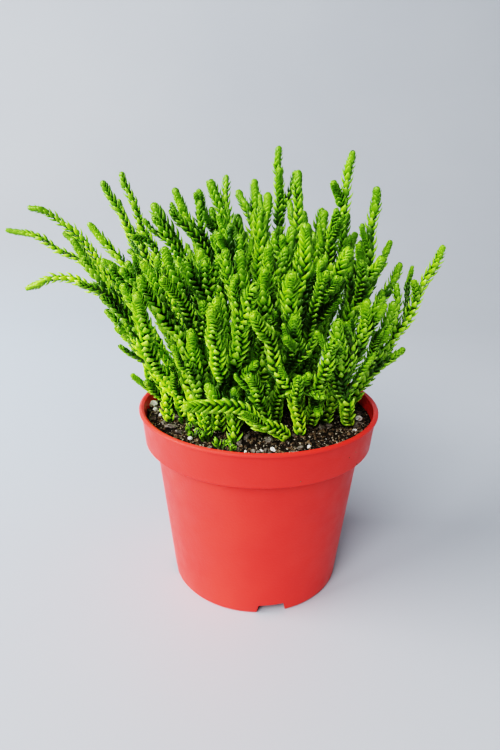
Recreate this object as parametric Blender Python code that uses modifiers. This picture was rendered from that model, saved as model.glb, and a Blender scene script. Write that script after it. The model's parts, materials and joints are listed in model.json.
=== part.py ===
"""A watch chain crassula in a red nursery pot: the pot, the potting mix that fills it and the leafy stems.

The frame is the pot's own: the origin is the centre of the face it stands on, +Z is up, and -Y is the side that
the photograph shows. Sizes are in metres; the stems' places are listed in millimetres.
"""

import math
import random

import bmesh
import bpy
import numpy as np
from mathutils import Matrix, Vector, kdtree, noise

MM = 0.001
OBJECT_NAME = "potted_watch_chain_crassula"
GAP = 0.0003
MERGE_DISTANCE = 0.00001
SHARP_ANGLE = math.radians(35)
CUT_PAST = 0.002

# The pot: a 12 cm nursery pot, moulded in one piece.
RIM_RADIUS = 0.060
POT_HEIGHT = 0.095
COLLAR_HEIGHT = 0.018
COLLAR_TOP_RADIUS = 0.0589
COLLAR_FOOT_RADIUS = 0.0574
BODY_TOP_RADIUS = 0.0522
FOOT_RADIUS = 0.0438
WALL = 0.0013
LIP_HEIGHT = 0.0020
EDGE_ROUND = 0.0007
SKIRT_EDGE_HEIGHT = 0.0012
CHANNEL_INNER_RADIUS = 0.029
CHANNEL_SLOPE = 0.0008
CHANNEL_HEIGHT = 0.0062
POT_STEPS = 36
NOTCHES = 4
NOTCH_WIDTH = 0.0125
NOTCH_FOOT_WIDTH = 0.0150
NOTCH_HEIGHT = 0.0050
NOTCH_REACH = 0.020
FRONT_NOTCH_ANGLE = math.radians(-80)
DRAIN_HOLES = 6
DRAIN_HOLE_RADIUS = 0.0035
DRAIN_HOLE_SIDES = 8

# The potting mix, a little below the lip and higher in the middle.
SOIL_EDGE_HEIGHT = 0.0880
SOIL_MIDDLE_HEIGHT = 0.0905
SOIL_LUMPS = 0.0009
SOIL_LUMPS_PER_METRE = 90
SOIL_RING_SHARES = (0.82, 0.56, 0.28)

# The stems. Each is a chain of fleshy scale leaves in four ranks, drawn here as rings of four points.
STEM_CORE_RADIUS = 0.0016
STEM_BURIED = 0.012
LEAF_PITCH_TIP = 0.0060
LEAF_PITCH_LOW = 0.0092
LEAF_REACH_LOW = 0.0031
LEAF_REACH_TIP = 0.0021
LEAF_AXIL = 0.56
LEAF_RISE = 0.62
LAST_LEAF_REACH = 0.82
LAST_LEAF_BELOW_TIP = 0.0030
FIRST_LEAF_ABOVE_ROOT = 0.0025
BARE_FOOT = 0.0030
AXIL_DROP = 0.50
ROOT_AXIL_DROP = 0.60
SIDE_ROOT_SIZE = 0.80
TAPER_LENGTH = 0.040
PITCH_LENGTH = 0.080
BEND_STEP = 0.001
SEED = 11

# Shoots near the middle of the bush are thicker than those that reach far out of it.
BUSH_MIDDLE_HEIGHT = 0.120
INNER_REACH = 0.078
OUTER_REACH = 0.133
INNER_GIRTH = 1.15
OUTER_GIRTH = 0.78
GIRTH_SPREAD = 0.06

# How the stems' lines are drawn and then bent clear of each other, the lip and the mix.
POINT_SPACING = 0.003
FEWEST_STEPS = 4
STEM_CLEARANCE = 0.0004
LIP_CLEARANCE = 0.0017
SOIL_CLEARANCE = 0.0010
RISE_FROM_SOIL = 0.80
KEEP_APART_ROUNDS = 70
SMOOTHING_PASSES = 9

# Each stem: where it leaves the mix (x, y), its tip (x, y, z), how far its middle bows up from a straight line, and
# its side shoots: how far up the stem each one leaves it, its tip and its bow. All in millimetres.
STEMS = {
    "left": (
        ((-40, -14), (-75, -32, 170), 3, ((0.72, (-104, -22, 155), 7), (0.62, (-75, -42, 161), 4),
                                          (0.40, (-68, -36, 155), 3))),
        ((-35, -2), (-85, -14, 176), 2, ((0.66, (-116, -6, 179), 6), (0.55, (-65, -24, 166), 2))),
        ((-33, 10), (-100, 22, 176), 5, ((0.74, (-112, 12, 188), 6),)),
        ((-27, 24), (-89, 32, 179), 3, ((0.55, (-74, 36, 191), 0),)),
        ((-23, 14), (-78, 18, 200), 3, ((0.68, (-60, 12, 182), 0),)),
        ((-19, 5), (-65, 4, 204), -1, ((0.62, (-59, -8, 177), 5),)),
        ((-29, -12), (-58, -30, 169), 5, ((0.60, (-58, -40, 167), 3),)),
        ((-30, -18), (-48, -52, 166), 2, ((0.55, (-48, -42, 170), 1),)),
        ((-36, -12), (-49, -56, 160), 2, ((0.50, (-56, -44, 161), 2),)),
        ((-40, -5), (-51, -22, 113), 1, ()),
        ((-44, 1), (-61, -24, 140), 3, ((0.55, (-72, -14, 144), 3),)),
    ),
    "front": (
        ((-21, -17), (-39, -46, 176), 4, ((0.55, (-38, -58, 166), 2),)),
        ((-14, -9), (-32, -40, 171), 7, ((0.60, (-24, -40, 172), 0),)),
        ((-25, -23), (-29, -50, 145), 0, ((0.35, (-31, -46, 130), 1),)),
        ((-17, -26), (-19, -68, 157), 3, ((0.65, (-17, -58, 159), 0),)),
        ((-15, -26), (-3, -62, 165), 6, ((0.32, (-1, -52, 132), 0),)),
        ((19, -29), (-5, -68, 155), 9, ((0.30, (2, -50, 133), 0), (0.38, (27, -52, 117), 2))),
        ((11, -13), (13, -54, 152), 0, ((0.60, (9, -60, 146), 0),)),
        ((5, -29), (-5, -52, 127), 1, ((0.45, (6, -44, 122), 0),)),
        ((13, -33), (-31, -60, 115), 7, ()),
        ((-11, -38), (-12, -39, 118), 0, ((0.40, (-20, -41, 121), 0),)),
        ((-22, -32), (-23, -43, 108), 2, ()),
        ((24, -18), (28, -57, 143), 0, ((0.30, (25, -43, 106), 0),)),
    ),
    "right": (
        ((44, -15), (31, -46, 149), -4,
            ((0.40, (48, -35, 132), 0), (0.50, (39, -36, 145), -2), (0.36, (28, -40, 123), 0))),
        ((16, -11), (10, -54, 169), 0, ((0.50, (3, -48, 149), 2),)),
        ((32, -13), (43, -40, 156), -3, ((0.60, (52, -28, 155), 0),)),
        ((41, -4), (59, -18, 152), -4, ((0.45, (51, -30, 142), 0), (0.40, (67, -14, 129), -1))),
        ((15, -6), (35, -42, 176), 7, ((0.62, (24, -50, 168), 0), (0.50, (23, -44, 172), -2))),
        ((29, -2), (49, -32, 173), 3, ((0.75, (40, -40, 171), 0),)),
        ((37, 8), (68, 8, 165), 0, ((0.60, (60, 4, 152), 0),)),
        ((43, 4), (81, -8, 175), -4, ((0.72, (69, -12, 160), 0), (0.50, (65, 0, 157), -1))),
    ),
    "top": (
        ((33, 16), (51, 2, 200), -7, ((0.72, (45, -6, 184), 0), (0.55, (43, -14, 176), 0))),
        ((26, 8), (39, -4, 214), 1, ((0.82, (30, -10, 202), 0), (0.60, (31, -16, 191), 0))),
        ((25, 22), (48, 26, 178), 0, ((0.60, (41, 14, 188), 0),)),
        ((17, 14), (30, 26, 189), -3, ()),
        ((16, 3), (16, 2, 206), -3, ((0.76, (12, 12, 192), 0),)),
        ((9, 20), (8, 34, 218), -3, ((0.70, (8, 20, 208), 0),)),
        ((12, -7), (18, -32, 186), -2, ((0.60, (17, -22, 183), 0),)),
        ((5, -2), (13, -12, 183), 0, ((0.65, (9, -20, 179), 0),)),
        ((1, -12), (0, -48, 170), 0, ((0.60, (3, -38, 177), 2),)),
        ((-6, -17), (-9, -46, 175), 0, ((0.60, (-15, -50, 176), 0),)),
        ((-6, -7), (-14, -24, 184), 0, ((0.70, (-18, -32, 182), 0), (0.50, (-10, -30, 180), 0))),
        ((0, 6), (-1, -14, 191), 0, ((0.70, (2, 0, 196), 0),)),
        ((-3, 14), (-4, 22, 202), 0, ((0.82, (-12, 28, 197), 0), (0.50, (10, 26, 179), 0))),
        ((-6, 7), (-23, -6, 202), 5, ((0.70, (-18, 16, 204), 0), (0.50, (-19, -14, 188), 0))),
        ((-12, 17), (-32, 22, 197), 3, ((0.80, (-33, 12, 195), 0), (0.60, (-25, 14, 189), 0))),
        ((-13, 0), (-41, -2, 197), 9, ((0.64, (-41, -14, 188), 3),)),
        ((-22, -4), (-48, -12, 191), 8, ((0.70, (-47, -20, 186), 0),)),
    ),
}

# The stems on the far side fan out by a rule, an inner and an outer row in turn. A side shoot leaves its stem this far
# up it, with this length, leaning aside and outwards by these angles.
BACK_STEMS = 10
BACK_FIRST_ANGLE = math.radians(20)
BACK_LAST_ANGLE = math.radians(160)
BACK_ROWS = (
    {"base": 0.023, "tip": 0.033, "height": 0.184},
    {"base": 0.043, "tip": 0.070, "height": 0.166},
)
BACK_SIDE_SHOOTS = (
    {"where": 0.34, "length": 0.042, "aside": math.radians(27), "outwards": math.radians(-12)},
    {"where": 0.50, "length": 0.036, "aside": math.radians(-25), "outwards": math.radians(16)},
    {"where": 0.70, "length": 0.024, "aside": math.radians(18), "outwards": math.radians(22)},
)
BACK_TIP_SPREAD = (0.92, 1.12)
BACK_HEIGHT_SPREAD = (-0.008, 0.010)
BACK_ASIDE_SPREAD = (0.8, 1.2)
BACK_LENGTH_SPREAD = (0.9, 1.2)
BACK_BOW = 0.003
BACK_SIDE_BOW = 0.001


def plain_material(name, colour, roughness):
    material = bpy.data.materials.new(name)
    material.use_nodes = True
    shader = material.node_tree.nodes["Principled BSDF"]
    shader.inputs["Base Color"].default_value = (*colour, 1)
    shader.inputs["Roughness"].default_value = roughness
    shader.inputs["Metallic"].default_value = 0
    return material


def add_object(name, mesh, collection, material=None):
    obj = bpy.data.objects.new(name, mesh)
    collection.objects.link(obj)
    if material:
        mesh.materials.append(material)
    return obj


def add_cutter(name, shape, collection):
    mesh = bpy.data.meshes.new(name)
    shape.to_mesh(mesh)
    shape.free()
    cutter = add_object(name, mesh, collection)
    cutter.hide_render = True
    cutter.display_type = "WIRE"
    return cutter


def turned(name, profile, collection, material):
    """The profile, given as (radius, height) points, turned round the Z axis."""
    mesh = bpy.data.meshes.new(name)
    edges = [(i, i + 1) for i in range(len(profile) - 1)]
    mesh.from_pydata([(radius, 0, height) for radius, height in profile], edges, [])
    obj = add_object(name, mesh, collection, material)
    screw = obj.modifiers.new("turn", "SCREW")
    screw.steps = POT_STEPS
    screw.render_steps = POT_STEPS
    screw.use_merge_vertices = True
    screw.merge_threshold = MERGE_DISTANCE
    obj.data = bpy.data.meshes.new_from_object(obj.evaluated_get(bpy.context.evaluated_depsgraph_get()))
    obj.modifiers.clear()
    return obj


def body_radius(height):
    """The pot's outer radius below the collar."""
    collar_foot = POT_HEIGHT - COLLAR_HEIGHT
    return FOOT_RADIUS + (BODY_TOP_RADIUS - FOOT_RADIUS) * height / collar_foot


def collar_radius(height):
    """The collar's outer radius."""
    share = (height - POT_HEIGHT + COLLAR_HEIGHT) / COLLAR_HEIGHT
    return COLLAR_FOOT_RADIUS + (COLLAR_TOP_RADIUS - COLLAR_FOOT_RADIUS) * share


def inner_profile(inset):
    """The pot's inside from the axis out and up to the lip, moved in by inset: the mix has the same shape."""
    collar_foot = POT_HEIGHT - COLLAR_HEIGHT
    floor = WALL + inset
    step = CHANNEL_HEIGHT + WALL + inset
    return [
        (0, floor),
        (CHANNEL_INNER_RADIUS - WALL - inset, floor),
        (CHANNEL_INNER_RADIUS - inset, step),
        (body_radius(step) - WALL - inset, step),
        (BODY_TOP_RADIUS - WALL - inset, collar_foot),
        (collar_radius(collar_foot + WALL + inset) - WALL - inset, collar_foot + WALL + inset),
    ]


def make_pot(collection, cutters):
    """Lip, collar, shoulder, tapered body and skirt in one turned wall, with the drain channel under its floor."""
    collar_foot = POT_HEIGHT - COLLAR_HEIGHT
    lip_foot = POT_HEIGHT - LIP_HEIGHT
    outside = [
        (COLLAR_TOP_RADIUS - WALL, POT_HEIGHT - EDGE_ROUND),
        (COLLAR_TOP_RADIUS, POT_HEIGHT),
        (RIM_RADIUS, POT_HEIGHT - EDGE_ROUND),
        (RIM_RADIUS, lip_foot + EDGE_ROUND / 2),
        (COLLAR_TOP_RADIUS, lip_foot),
        (COLLAR_FOOT_RADIUS, collar_foot + EDGE_ROUND),
        (COLLAR_FOOT_RADIUS - EDGE_ROUND, collar_foot),
        (BODY_TOP_RADIUS, collar_foot - EDGE_ROUND),
        (body_radius(SKIRT_EDGE_HEIGHT), SKIRT_EDGE_HEIGHT),
        (FOOT_RADIUS - EDGE_ROUND, 0),
        (FOOT_RADIUS - WALL, 0),
        (body_radius(CHANNEL_HEIGHT) - WALL, CHANNEL_HEIGHT),
        (CHANNEL_INNER_RADIUS + CHANNEL_SLOPE, CHANNEL_HEIGHT),
        (CHANNEL_INNER_RADIUS, 0),
        (0, 0),
    ]
    red = plain_material("red pot plastic", (0.75, 0.07, 0.04), 0.38)
    pot = turned("pot", inner_profile(0) + outside, collection, red)
    for number in range(NOTCHES):
        turn = Matrix.Rotation(FRONT_NOTCH_ANGLE + number * math.tau / NOTCHES, 4, "Z")
        notch = bmesh.new()
        bmesh.ops.create_cube(notch, size=1)
        for corner in notch.verts:
            width = NOTCH_WIDTH if corner.co.z > 0 else NOTCH_FOOT_WIDTH
            height = NOTCH_HEIGHT if corner.co.z > 0 else -CUT_PAST
            corner.co = Vector((FOOT_RADIUS + NOTCH_REACH * corner.co.x, width * corner.co.y, height))
        bmesh.ops.transform(notch, matrix=turn, verts=notch.verts)
        add_cutter(f"skirt_notch_{number + 1}", notch, cutters)
    ring_radius = (CHANNEL_INNER_RADIUS + FOOT_RADIUS) / 2
    for number in range(DRAIN_HOLES):
        angle = FRONT_NOTCH_ANGLE + (number + 0.5) * math.tau / DRAIN_HOLES
        place = Vector((ring_radius * math.cos(angle), ring_radius * math.sin(angle), CHANNEL_HEIGHT))
        hole = bmesh.new()
        bmesh.ops.create_cone(hole, cap_ends=True, segments=DRAIN_HOLE_SIDES, radius1=DRAIN_HOLE_RADIUS,
                              radius2=DRAIN_HOLE_RADIUS, depth=2 * (WALL + CUT_PAST),
                              matrix=Matrix.Translation(place))
        add_cutter(f"drain_hole_{number + 1}", hole, cutters)
    cut = pot.modifiers.new("notches and drain holes", "BOOLEAN")
    cut.operation = "DIFFERENCE"
    cut.operand_type = "COLLECTION"
    cut.collection = cutters
    pot.data.shade_smooth()
    pot.data.set_sharp_from_angle(angle=SHARP_ANGLE)
    return pot


def soil_height(radius):
    """The height of the mix before its lumps, at this distance from the pot's axis."""
    edge = COLLAR_FOOT_RADIUS
    return SOIL_MIDDLE_HEIGHT + (SOIL_EDGE_HEIGHT - SOIL_MIDDLE_HEIGHT) * min(1, radius / edge) ** 2


def make_soil(collection, cutters, shoots):
    """The mix fills the pot to a lumpy top, with a plain square hole for each stem's buried foot."""
    edge_radius = collar_radius(SOIL_EDGE_HEIGHT) - WALL - GAP
    rings = [share * edge_radius for share in SOIL_RING_SHARES]
    profile = inner_profile(GAP) + [(edge_radius, SOIL_EDGE_HEIGHT)]
    profile += [(radius, soil_height(radius)) for radius in rings] + [(0, SOIL_MIDDLE_HEIGHT)]
    peat = plain_material("peat potting mix", (0.045, 0.028, 0.018), 0.95)
    soil = turned("soil", profile, collection, peat)
    for vertex in soil.data.vertices:
        if vertex.co.z > SOIL_EDGE_HEIGHT + GAP:
            vertex.co.z += SOIL_LUMPS * noise.noise(vertex.co * SOIL_LUMPS_PER_METRE)
    for shoot in shoots:
        if shoot["parent"] is None:
            radius = STEM_CORE_RADIUS + GAP * math.sqrt(2)
            depth = 2 * STEM_BURIED
            foot = Vector(shoot["points"][0])
            bottom = foot.z - STEM_BURIED - GAP
            hole = bmesh.new()
            spin = Matrix.Rotation(shoot["turn"], 4, "Z")
            place = Matrix.Translation((foot.x, foot.y, bottom + depth / 2))
            bmesh.ops.create_cone(hole, cap_ends=True, segments=4, radius1=radius, radius2=radius, depth=depth,
                                  matrix=place @ spin)
            add_cutter(f"hole_{shoot['node']}", hole, cutters)
    cut = soil.modifiers.new("stem holes", "BOOLEAN")
    cut.operation = "DIFFERENCE"
    cut.operand_type = "COLLECTION"
    cut.collection = cutters
    return soil


def bowed_line(start, tip, bow):
    """Points from start to tip along a curve whose middle lies bow above the straight line."""
    chord = tip - start
    above = chord.cross(Vector((0, 0, 1))).cross(chord).normalized()
    control = (start + tip) / 2 + 2 * bow * above
    count = max(FEWEST_STEPS, round(chord.length / POINT_SPACING)) + 1
    shares = [i / (count - 1) for i in range(count)]
    return np.array([(1 - t) ** 2 * start + 2 * t * (1 - t) * control + t * t * tip for t in shares])


def girth_for(tip):
    """A shoot's size beside the usual one, by how far from the middle of the bush its tip is."""
    reach = (tip - Vector((0, 0, BUSH_MIDDLE_HEIGHT))).length
    share = min(1, max(0, (reach - INNER_REACH) / (OUTER_REACH - INNER_REACH)))
    return INNER_GIRTH + (OUTER_GIRTH - INNER_GIRTH) * share


def add_shoot(shoots, draw, node, start, tip, bow, parent=None, joint=0):
    shoot = {
        "node": node,
        "points": bowed_line(start, tip, bow),
        "girth": girth_for(tip) * draw.uniform(1 - GIRTH_SPREAD, 1 + GIRTH_SPREAD),
        "turn": draw.uniform(0, math.pi / 2),
        "parent": parent,
        "joint": joint,
    }
    shoots.append(shoot)
    return shoot


def add_side_shoot(shoots, draw, parent, where, tip, bow):
    joint = round(where * (len(parent["points"]) - 1))
    start = Vector(parent["points"][joint])
    return add_shoot(shoots, draw, parent["node"], start, tip, bow, parent, joint)


def planned_shoots():
    """Every stem and side shoot along its own line, before they are kept apart."""
    draw = random.Random(SEED)
    shoots = []
    for place, stems in STEMS.items():
        for number, (base, tip, bow, side_shoots) in enumerate(stems, 1):
            x, y = base[0] * MM, base[1] * MM
            foot = Vector((x, y, soil_height(math.hypot(x, y))))
            stem = add_shoot(shoots, draw, f"stem_{place}_{number}", foot, Vector(tip) * MM, bow * MM)
            for where, side_tip, side_bow in side_shoots:
                add_side_shoot(shoots, draw, stem, where, Vector(side_tip) * MM, side_bow * MM)
    for number in range(BACK_STEMS):
        row = BACK_ROWS[number % 2]
        share = number / (BACK_STEMS - 1)
        angle = BACK_FIRST_ANGLE + share * (BACK_LAST_ANGLE - BACK_FIRST_ANGLE)
        outward = Vector((math.cos(angle), math.sin(angle), 0))
        foot = outward * row["base"]
        foot.z = soil_height(row["base"])
        tip = outward * row["tip"] * draw.uniform(*BACK_TIP_SPREAD)
        tip.z = row["height"] + draw.uniform(*BACK_HEIGHT_SPREAD)
        stem = add_shoot(shoots, draw, f"stem_back_{number + 1}", foot, tip, BACK_BOW)
        points = stem["points"]
        around = outward.cross(Vector((0, 0, 1)))
        hand = draw.choice((-1, 1))
        for side in BACK_SIDE_SHOOTS:
            joint = round(side["where"] * (len(points) - 1))
            along = Vector(points[joint + 1] - points[joint - 1]).normalized()
            lean = hand * side["aside"] * draw.uniform(*BACK_ASIDE_SPREAD)
            along = Matrix.Rotation(-side["outwards"], 3, around) @ Matrix.Rotation(lean, 3, outward) @ along
            side_tip = Vector(points[joint]) + along * side["length"] * draw.uniform(*BACK_LENGTH_SPREAD)
            add_side_shoot(shoots, draw, stem, side["where"], side_tip, BACK_SIDE_BOW)
    return shoots


def leaf_reach(shoot, left):
    """How far the leaf tips stand out from a shoot's middle line, where this much length is left to its tip."""
    share = min(1, left / TAPER_LENGTH)
    share = share * share * (3 - 2 * share)
    return shoot["girth"] * (LEAF_REACH_TIP + (LEAF_REACH_LOW - LEAF_REACH_TIP) * share)


def leaf_places(length, bare):
    """How far along a shoot each pair of leaves stands, with the pitch there: pairs are closest at the tip."""
    places = []
    left = LAST_LEAF_BELOW_TIP
    while left < length - bare - FIRST_LEAF_ABOVE_ROOT:
        pitch = LEAF_PITCH_TIP + (LEAF_PITCH_LOW - LEAF_PITCH_TIP) * min(1, left / PITCH_LENGTH)
        places.append((length - left, pitch))
        left += pitch
    return places[::-1]


def arc_lengths(points):
    steps = np.linalg.norm(np.diff(points, axis=0), axis=1)
    return np.concatenate([[0], np.cumsum(steps)])


def smoothed(moves):
    """The moves evened out along a shoot, so that it bends gently."""
    for _ in range(SMOOTHING_PASSES):
        padded = np.vstack([moves[:1], moves, moves[-1:]])
        moves = (padded[:-2] + 2 * padded[1:-1] + padded[2:]) / 4
    return moves


def pushes_between(shoots):
    """A move for each point, away from other nodes' shoots, the pot's lip and the mix where it is too near them."""
    points = np.vstack([shoot["points"] for shoot in shoots])
    owners = [shoot["node"] for shoot in shoots for _ in shoot["points"]]
    reaches = []
    alongs = []
    for shoot in shoots:
        lengths = arc_lengths(shoot["points"])
        reaches += [leaf_reach(shoot, lengths[-1] - length) + STEM_CLEARANCE for length in lengths]
        alongs += list(lengths)
    tree = kdtree.KDTree(len(points))
    for index, point in enumerate(points):
        tree.insert(point, index)
    tree.balance()
    moves = np.zeros_like(points)
    widest = max(reaches)
    lip_radius = (RIM_RADIUS + COLLAR_TOP_RADIUS - WALL) / 2
    lip_height = POT_HEIGHT - LIP_HEIGHT / 2
    for index, point in enumerate(points):
        for other, other_index, distance in tree.find_range(point, reaches[index] + widest):
            wanted = reaches[index] + reaches[other_index]
            if owners[other_index] != owners[index] and 0 < distance < wanted:
                moves[index] += (point - np.array(other)) / distance * (wanted - distance) / 2
        radius = math.hypot(point[0], point[1])
        nearest = np.array([point[0] / radius * lip_radius, point[1] / radius * lip_radius, lip_height])
        distance = np.linalg.norm(point - nearest)
        wanted = reaches[index] + LIP_CLEARANCE
        if distance < wanted:
            moves[index] += (point - nearest) / distance * (wanted - distance)
        lowest = soil_height(radius) + min(RISE_FROM_SOIL * alongs[index], reaches[index] + SOIL_CLEARANCE)
        moves[index][2] += max(0, lowest - point[2])
    return moves


def keep_apart(shoots):
    """Bends the shoots clear of each other, a little in each round. A side shoot keeps to its place on its stem."""
    for _ in range(KEEP_APART_ROUNDS):
        moves = pushes_between(shoots)
        first = 0
        for shoot in shoots:
            count = len(shoot["points"])
            own = smoothed(moves[first:first + count])
            first += count
            if shoot["parent"] is None:
                own[0][2] = 0
                shoot["move"] = own
            else:
                follow = np.linspace(1, 0, count)[:, None]
                shoot["move"] = own * (1 - follow) + shoot["parent"]["move"][shoot["joint"]] * follow
        for shoot in shoots:
            shoot["points"] = shoot["points"] + shoot["move"]


def place_along(points, lengths, distance):
    return Vector([float(np.interp(distance, lengths, points[:, axis])) for axis in range(3)])


def shoot_mesh(shoot):
    """A loft of rings of four points. In each ring two opposite points are leaf tips, which stand out and up, and the
    other two are the axils between leaves, which lie in and down; the next ring is a quarter turn on."""
    points = shoot["points"]
    lengths = arc_lengths(points)
    length = lengths[-1]
    is_stem = shoot["parent"] is None
    bare = BARE_FOOT if is_stem else 0
    places = leaf_places(length, bare)
    tangent = Vector((0, 0, 1)) if is_stem else Vector(points[1] - points[0]).normalized()
    across = Matrix.Rotation(shoot["turn"], 3, "Z") @ Vector((1, 0, 0))
    across = (across - across.dot(tangent) * tangent).normalized()
    start = Vector(points[0])
    shape = bmesh.new()

    def ring(centre, reaches, rises):
        square = (across, tangent.cross(across), -across, -tangent.cross(across))
        return [shape.verts.new(centre + side * reach + tangent * rise)
                for side, reach, rise in zip(square, reaches, rises)]

    core = (STEM_CORE_RADIUS,) * 4
    if is_stem:
        rings = [ring(start - Vector((0, 0, STEM_BURIED)), core, (0,) * 4), ring(start, core, (0,) * 4)]
    else:
        rings = [ring(start, [SIDE_ROOT_SIZE * radius for radius in core], (0,) * 4)]
    plain_rings = len(rings)
    for row, (distance, pitch) in enumerate(places, 1):
        ahead = place_along(points, lengths, distance + BEND_STEP)
        behind = place_along(points, lengths, distance - BEND_STEP)
        turn = tangent.rotation_difference((ahead - behind).normalized())
        tangent = turn @ tangent
        across = turn @ across
        left = length - distance
        out = leaf_reach(shoot, left) * (LAST_LEAF_REACH if row == len(places) else 1)
        tips = (out, min(LEAF_RISE * pitch, left / 2))
        axils = (LEAF_AXIL * out, -min(AXIL_DROP * pitch, ROOT_AXIL_DROP * (distance - bare)))
        sides = [tips if (side + row) % 2 == 0 else axils for side in range(4)]
        rings.append(ring((ahead + behind) / 2, [reach for reach, _ in sides], [rise for _, rise in sides]))
    top = shape.verts.new(Vector(points[-1]))
    shape.faces.new(reversed(rings[0]))
    for index, (lower, upper) in enumerate(zip(rings, rings[1:])):
        row = index - plain_rings + 1
        for side in range(4):
            turned_side = (side + 1) % 4
            corners = lower[side], lower[turned_side], upper[turned_side], upper[side]
            leaf_first = (side + row) % 2 == 0
            if leaf_first:
                shape.faces.new((corners[0], corners[1], corners[3]))
                shape.faces.new((corners[1], corners[2], corners[3]))
            else:
                shape.faces.new((corners[0], corners[1], corners[2]))
                shape.faces.new((corners[0], corners[2], corners[3]))
    for side in range(4):
        shape.faces.new((rings[-1][side], rings[-1][(side + 1) % 4], top))
    mesh = bpy.data.meshes.new(shoot["node"])
    shape.to_mesh(mesh)
    shape.free()
    return mesh


def keep_outer_surface(mesh):
    """Keeps only the largest closed surface, so a hollow that fusing sealed is filled and a loose scrap dropped."""
    shape = bmesh.new()
    shape.from_mesh(mesh)
    waiting = set(shape.verts)
    surfaces = []
    while waiting:
        surface = [waiting.pop()]
        for vertex in surface:
            for edge in vertex.link_edges:
                neighbour = edge.other_vert(vertex)
                if neighbour in waiting:
                    waiting.remove(neighbour)
                    surface.append(neighbour)
        surfaces.append(surface)
    outer = max(surfaces, key=len)
    others = [vertex for surface in surfaces if surface is not outer for vertex in surface]
    bmesh.ops.delete(shape, geom=others, context="VERTS")
    shape.to_mesh(mesh)
    shape.free()


def fuse(stem, side_meshes):
    """Joins a stem's side shoots to it with one union."""
    group = bpy.data.collections.new("side shoots")
    bpy.context.scene.collection.children.link(group)
    for number, mesh in enumerate(side_meshes):
        add_object(f"{stem.name}_side_{number + 1}", mesh, group)
    union = stem.modifiers.new("side shoots", "BOOLEAN")
    union.operation = "UNION"
    union.operand_type = "COLLECTION"
    union.collection = group
    fused = bpy.data.meshes.new_from_object(stem.evaluated_get(bpy.context.evaluated_depsgraph_get()))
    stem.modifiers.clear()
    keep_outer_surface(fused)
    stem.data = fused
    for side in list(group.objects):
        bpy.data.objects.remove(side)
    bpy.data.collections.remove(group)


def make_stems(collection, shoots):
    green = plain_material("scale leaves", (0.22, 0.46, 0.03), 0.42)
    for shoot in shoots:
        if shoot["parent"] is None:
            stem = add_object(shoot["node"], shoot_mesh(shoot), collection, green)
            side_meshes = [shoot_mesh(other) for other in shoots if other["parent"] is shoot]
            if side_meshes:
                fuse(stem, side_meshes)


def main():
    for obj in list(bpy.data.objects):
        bpy.data.objects.remove(obj)
    collection = bpy.data.collections.new(OBJECT_NAME)
    pot_cutters = bpy.data.collections.new("pot cutters")
    soil_cutters = bpy.data.collections.new("soil cutters")
    for group in (collection, pot_cutters, soil_cutters):
        bpy.context.scene.collection.children.link(group)
    shoots = planned_shoots()
    keep_apart(shoots)
    make_pot(collection, pot_cutters)
    make_soil(collection, soil_cutters, shoots)
    make_stems(collection, shoots)


main()
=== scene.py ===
"""A watch chain crassula in a red nursery pot: the pot, the potting mix and the leafy stems, as one bushy plant.

Sizes are in metres and the frame is the pot's own: the origin is the centre of the face it stands on, +Z is up and
the side that faces the camera is -Y.
"""
import json
import math
import random

import bmesh
import bpy
import numpy as np
from mathutils import Matrix, Vector, kdtree

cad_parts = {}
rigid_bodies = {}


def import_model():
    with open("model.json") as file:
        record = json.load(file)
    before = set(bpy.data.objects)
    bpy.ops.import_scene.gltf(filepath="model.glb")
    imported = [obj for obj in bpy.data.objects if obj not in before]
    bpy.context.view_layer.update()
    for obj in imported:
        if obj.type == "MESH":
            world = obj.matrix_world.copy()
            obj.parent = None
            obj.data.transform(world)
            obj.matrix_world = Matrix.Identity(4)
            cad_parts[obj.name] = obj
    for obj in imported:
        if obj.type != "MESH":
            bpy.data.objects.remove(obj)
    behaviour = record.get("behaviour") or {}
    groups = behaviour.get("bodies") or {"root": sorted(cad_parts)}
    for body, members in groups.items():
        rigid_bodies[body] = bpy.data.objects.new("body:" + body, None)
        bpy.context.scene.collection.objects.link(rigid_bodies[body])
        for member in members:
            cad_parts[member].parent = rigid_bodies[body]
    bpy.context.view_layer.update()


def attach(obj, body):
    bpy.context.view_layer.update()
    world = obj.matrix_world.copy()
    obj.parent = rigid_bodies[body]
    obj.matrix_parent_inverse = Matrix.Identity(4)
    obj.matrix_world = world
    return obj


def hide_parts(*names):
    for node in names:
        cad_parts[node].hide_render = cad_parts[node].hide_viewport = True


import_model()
bpy.ops.object.select_all(action="DESELECT")

# The pot is a thin-walled nursery pot, injection moulded in one piece of red plastic. A rolled lip and a deep collar
# stiffen its mouth, the body tapers to a skirt with four notches, and a raised channel in its floor has drain holes.
RIM_RADIUS = 0.0600
COLLAR_TOP_RADIUS = 0.0589
COLLAR_FOOT_RADIUS = 0.0574
BODY_TOP_RADIUS = 0.0522
FOOT_RADIUS = 0.0438
CHANNEL_RADIUS = 0.0290
CHANNEL_SLOPE = 0.0008
WALL = 0.0013
POT_HEIGHT = 0.0950
LIP_FOOT_HEIGHT = 0.0930
COLLAR_FOOT_HEIGHT = 0.0770
CHANNEL_HEIGHT = 0.0062
SKIRT_EDGE_HEIGHT = 0.0012
EDGE_ROUND = 0.0007
POT_SIDES = 160
NOTCH_ANGLES = [math.radians(-80 + 90 * turn) for turn in range(4)]
NOTCH_WIDTH = 0.0125
NOTCH_FOOT_WIDTH = 0.0150
NOTCH_HEIGHT = 0.0050
NOTCH_REACH = 0.0200
DRAIN_ANGLES = [math.radians(-50 + 60 * turn) for turn in range(6)]
DRAIN_RING_RADIUS = (CHANNEL_RADIUS + FOOT_RADIUS) / 2
DRAIN_RADIUS = 0.0035
DRAIN_SIDES = 24
DRAIN_CUT_DEPTH = 0.0060
CUT_PAST = 0.0005
POT_BEVEL = 0.00028
BEVEL_FROM = math.radians(24)
POT_SMOOTH_TO = math.radians(32)
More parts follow.
